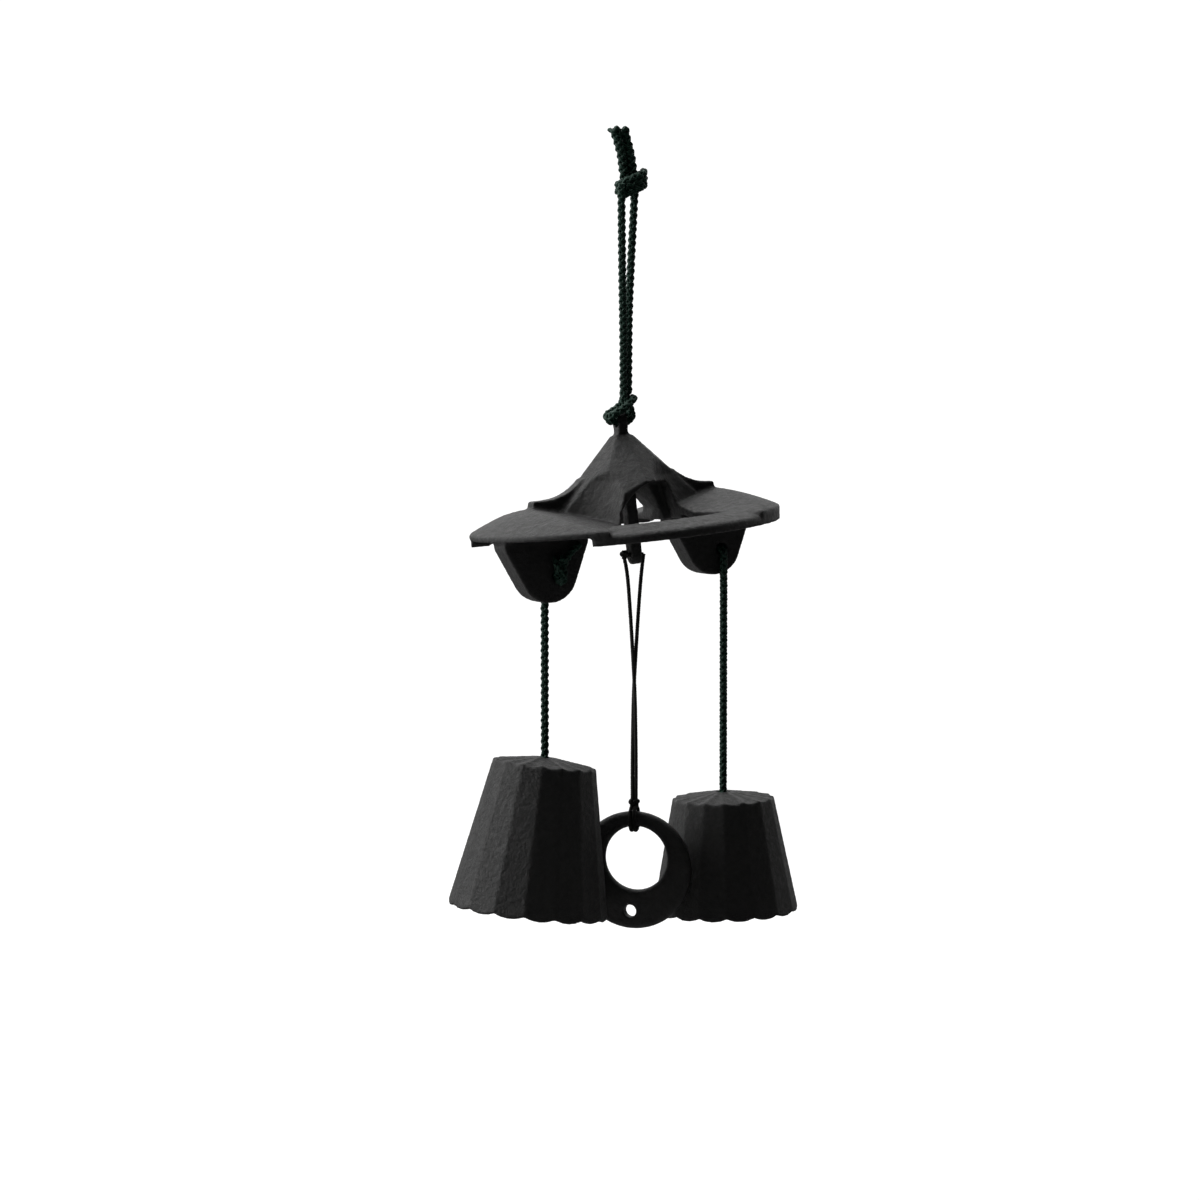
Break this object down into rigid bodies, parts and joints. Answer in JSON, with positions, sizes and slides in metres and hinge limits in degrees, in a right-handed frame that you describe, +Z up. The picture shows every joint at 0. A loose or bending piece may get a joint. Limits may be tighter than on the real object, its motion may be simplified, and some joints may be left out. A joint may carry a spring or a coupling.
{
  "type": "furin wind bell",
  "caption": "Cast-iron furin wind bell: a winged roof canopy on a cord loop carries a pair of fluted hollow bells and a hanging ring clapper that strikes them.",
  "frame": {"origin": "hang point, on the axis of the rod that the cord loop lies over", "axes": "+Z up along the hanging loop, +X towards the smaller bell, -Y towards the front doorway"},
  "size_m": [0.1452, 0.1192, 0.3084],
  "materials": {
    "cast_iron": "matte black, sand-cast",
    "green_cord": "braided, dark green",
    "black_cord": "twisted, black"
  },
  "bodies": {
    "loop": {"upper_knot": "green_cord", "tail_front": "green_cord", "tail_back": "green_cord", "strand_front": "green_cord", "strand_back": "green_cord"},
    "eye_knot": {"lower_knot": "green_cord", "eye_bight": "green_cord"},
    "canopy": {"canopy": "cast_iron", "lobe_knot_left": "green_cord", "lobe_knot_right": "green_cord", "tongue_knot": "black_cord"},
    "cord_left": {"bell_cord_left": "green_cord", "bell_knot_left": "green_cord"},
    "bell_left": {"bell_left": "cast_iron"},
    "cord_right": {"bell_cord_right": "green_cord", "bell_knot_right": "green_cord"},
    "bell_right": {"bell_right": "cast_iron"},
    "clapper_cord": {"clapper_strand_left": "black_cord", "clapper_strand_right": "black_cord"},
    "clapper": {"clapper_ring": "cast_iron", "clapper_loop": "black_cord", "clapper_knot": "black_cord"}
  },
  "joints": [
    {"name": "cord_twist", "type": "hinge", "parent": "loop", "child": "eye_knot", "pos_m": [-0.00337, 0, -0.0838], "axis": [0, 0, 1], "range_deg": [-90, 90]},
    {"name": "canopy_tilt", "type": "hinge", "parent": "eye_knot", "child": "canopy", "pos_m": [-0.00337, 0, -0.0838], "axis": [0, 1, 0], "range_deg": [-10, 10]},
    {"name": "left_cord_swing", "type": "hinge", "parent": "canopy", "child": "cord_left", "pos_m": [-0.03598, -0.0052, -0.14183], "axis": [0, 1, 0], "range_deg": [0, 20]},
    {"name": "left_bell_tilt", "type": "hinge", "parent": "cord_left", "child": "bell_left", "pos_m": [-0.03598, -0.0052, -0.21313], "axis": [0, 1, 0], "range_deg": [0, 10]},
    {"name": "right_cord_swing", "type": "hinge", "parent": "canopy", "child": "cord_right", "pos_m": [0.04238, 0.0052, -0.13359], "axis": [0, -1, 0], "range_deg": [0, 20]},
    {"name": "right_bell_tilt", "type": "hinge", "parent": "cord_right", "child": "bell_right", "pos_m": [0.04238, 0.0052, -0.23079], "axis": [0, -1, 0], "range_deg": [0, 12]},
    {"name": "clapper_swing", "type": "hinge", "parent": "canopy", "child": "clapper_cord", "pos_m": [0.00263, 0, -0.13515], "axis": [0.858, 0.5136, 0], "range_deg": [-8, 8]},
    {"name": "clapper_twist", "type": "hinge", "parent": "clapper_cord", "child": "clapper", "pos_m": [0.00263, 0, -0.25745], "axis": [0, 0, -1], "range_deg": [0, 55]}
  ]
}
